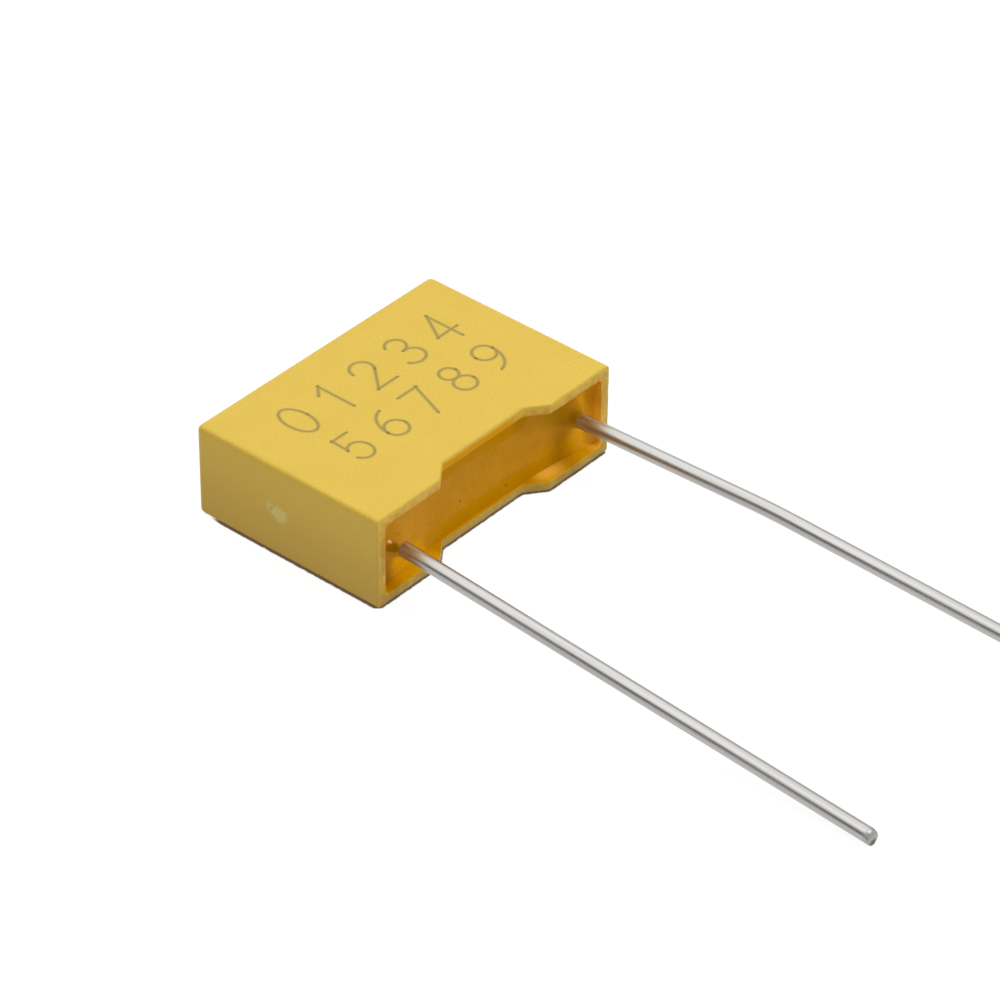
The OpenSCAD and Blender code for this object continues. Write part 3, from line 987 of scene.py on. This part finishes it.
# %% Winding and sprayed ends
foil = Finish("metallised_film", Metallic=0.9, Roughness=0.35)
layers = foil.noise(6, 2, 0.5, (40, 1, 1))
foil.feed(Base_Color=foil.mix(layers, (0.55, 0.55, 0.57), (0.75, 0.75, 0.78)))
spray = Finish("sprayed_metal", Metallic=0.8)
grit = spray.noise(12, 4, 0.7)
spray.feed(Base_Color=spray.mix(grit, (0.30, 0.30, 0.31), (0.50, 0.50, 0.51)), Roughness=0.5 + grit * 0.3,
           Normal=spray.bump(grit, 0.02))
for node, finish in (("film_winding", foil), ("end_spray_left", spray), ("end_spray_right", spray)):
    slots = frame["nodes"][node].material_slots
    for held in slots:
        held.material = finish.material
    print(f"{node}: {len(slots)} slot filled with {finish.material.name}")

# %% [markdown]
# ## Floor and light
#
# The part lies on white paper. Paper lit by lamps alone turns grey away from them, so it glows a little by itself,
# nearly as bright as white. It is a plain square whose object rides on no body, so that it is never taken for a piece
# of the part. Its finish also reads a note of contact, which only the next mesh has: on the sheet itself the note is
# missing, and counts as zero.

# %% Floor
PAPER_GLOW, FLOOR_HALF, PAPER_DROP = 0.92, 400, 0.001
paper = Finish("white_paper", Roughness=1.0, Specular_IOR_Level=0.0)
fibre = paper.noise(0.05, 3, 0.5)
contact, _, _ = paper.parts(paper.note("contact"))
uneven = paper.noise(5, 3, 0.6) - 0.5
dark = (contact * (1 + uneven * 1.4)).between(0.1, 0.75)
pale = paper.mix(fibre, (0.10, 0.10, 0.10), (0.12, 0.12, 0.12))
paper.feed(Base_Color=paper.mix(dark, pale, (0.05, 0.035, 0.02)),
           Emission_Color=paper.mix(dark, (1, 1, 1), (0.12, 0.075, 0.045)))
paper.shader.inputs["Emission Strength"].default_value = PAPER_GLOW
sheet = bpy.data.meshes.new("floor")
edge = FLOOR_HALF * MM
under = (case_low.z - PAPER_DROP) * MM
sheet.from_pydata([(-edge, -edge, under), (edge, -edge, under), (edge, edge, under), (-edge, edge, under)], [],
                  [(0, 1, 2, 3)])
floor = put(sheet)
paper.coat(floor)

# %% [markdown]
# Where the case meets the paper, hardly any light gets in, and a thin dark line shows there. A glowing paper
# doesn't keep such shadows, so the line is a band laid on it, dark along the case and gone a tenth of a
# millimetre outside. It keeps to the open end and the two sides, cuts the back corners, and fades out before
# them.

# %% Shade the paper where the case meets it
OVERLAP, BEHIND_EDGE, OUTSIDE, BAND_DROP = -0.3, -0.03, 0.08, 0.0005


def contact_line():
    """Band round the foot of the case, from under it to just outside. Its path is the case's own outline where
    it rests, and its note falls from 1 on that outline to 0 at the outer edge."""
    x, _ = ring(half_w, half_t, EDGE_R)
    front = anchor_z < 0
    low_x = np.sort(x[front & (normal_x == 0)])
    path = np.concatenate([np.stack([low_x, feet_y + notch(low_x)], axis=-1),
                           [[half_w, feet_y + 0.2], [half_w, closed_y - 0.4], [half_w - 0.4, closed_y - 0.1],
                            [0.4 - half_w, closed_y - 0.1], [-half_w, closed_y - 0.4], [-half_w, closed_y - 1.2],
                            [-half_w, feet_y + 0.2]]])
    ahead = np.roll(path, -1, axis=0) - np.roll(path, 1, axis=0)
    ahead /= np.hypot(*ahead.T)[:, None]
    outward = np.stack([ahead[:, 1], -ahead[:, 0]], axis=-1)
    flat = path + np.array([OVERLAP, BEHIND_EDGE, OUTSIDE])[:, None, None] * outward
    height = np.full(flat.shape[:2], case_low.z - BAND_DROP)
    fade = np.array([1.0, 1.0, 0.0])[:, None] * np.clip((closed_y - 0.6 - path[:, 1]) / 0.6, 0.0, 1.0)
    note = np.broadcast_to(fade[..., None], flat.shape[:2] + (3,))
    return np.concatenate([flat, height[..., None]], axis=-1), note


band, darkness = contact_line()
contact_shade = put(mesh_of("contact_shade", [band], {"contact": [darkness]}))
paper.coat(contact_shade)

# %% [markdown]
# Metal shows what stands round it, so most of the light is a sky with a pale upper part, a dim horizon and a
# brighter side. It is written as soft steps in the direction of the sky, which needs no picture.

# %% Sky
DIM, PALE, SIDE_GLOW = 0.15, 1.66, 0.8
world = bpy.data.worlds.new("studio")
world.use_nodes = True
bpy.context.scene.world = world
sky = Net(world.node_tree)
aside, beyond, height = sky.parts(sky.node("ShaderNodeTexCoord")["Generated"])
glow = DIM + (height + beyond * 0.35).between(0.55, 0.85) * PALE + (aside + beyond).between(1.0, 1.35) * SIDE_GLOW
sky.tree.links.new(glow.socket, sky.tree.nodes["Background"].inputs["Strength"])
sky.tree.nodes["Background"].inputs["Color"].default_value = (1, 1, 1, 1)
print("the sky takes", len(sky.tree.nodes), "nodes")

# %% [markdown]
# One large softbox in front and above adds direction: it makes the top brighter than the ends and puts a long
# soft band on the wires. Colours are shown as they are, with no film look over them.

# %% Key light
def softbox(name, place, size, power, aim=(0, 0, 2)):
    """A square area light at a place in millimetres, aimed at a point of the part."""
    data = bpy.data.lights.new(name, "AREA")
    data.shape, data.size, data.energy = "SQUARE", size * MM, power
    lamp = bpy.data.objects.new(name, data)
    lamp.location = Vector(place) * MM
    lamp.rotation_mode = "QUATERNION"
    lamp.rotation_quaternion = (Vector(place) - Vector(aim)).to_track_quat("Z", "Y")
    bpy.context.scene.collection.objects.link(lamp)
    return lamp


key = softbox("key", place=(60, -150, 150), size=90, power=0.2)
view = bpy.context.scene.view_settings
view.view_transform, view.look, view.exposure, view.gamma = "Standard", "None", 0, 1
print("key light at", [round(c / MM) for c in key.location], "mm")

# %% [markdown]
